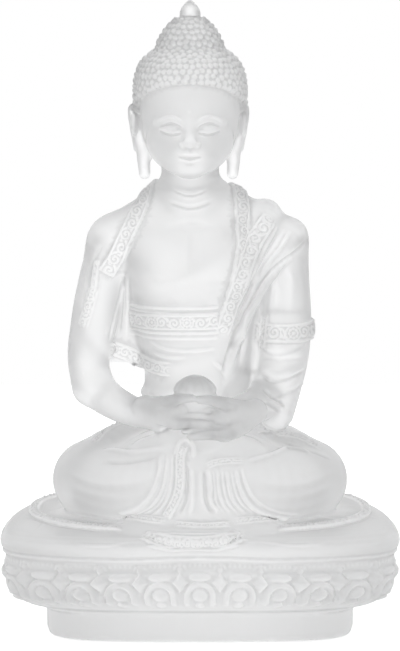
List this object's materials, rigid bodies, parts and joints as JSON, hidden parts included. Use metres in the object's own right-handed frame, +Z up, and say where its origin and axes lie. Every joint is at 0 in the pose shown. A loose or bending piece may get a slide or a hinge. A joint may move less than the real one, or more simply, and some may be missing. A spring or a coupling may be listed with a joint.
{
  "type": "seated amitabha buddha statue",
  "caption": "Seated Buddha in full lotus with hands in the lap under an alms bowl, on an oval lotus throne, cast in one piece of frosted glass.",
  "frame": {"origin": "middle of the throne's underside, under the middle of the bounding box", "axes": "+Z up through the finial, the figure faces -Y, its left hand is towards +X"},
  "size_m": [0.16, 0.11, 0.25],
  "materials": {
    "frosted_glass": "cast glass, milky and frosted all over with a fine satin surface, translucent where it is thin"
  },
  "bodies": {
    "root": {"amitabha_statue": "frosted_glass"}
  },
  "joints": []
}
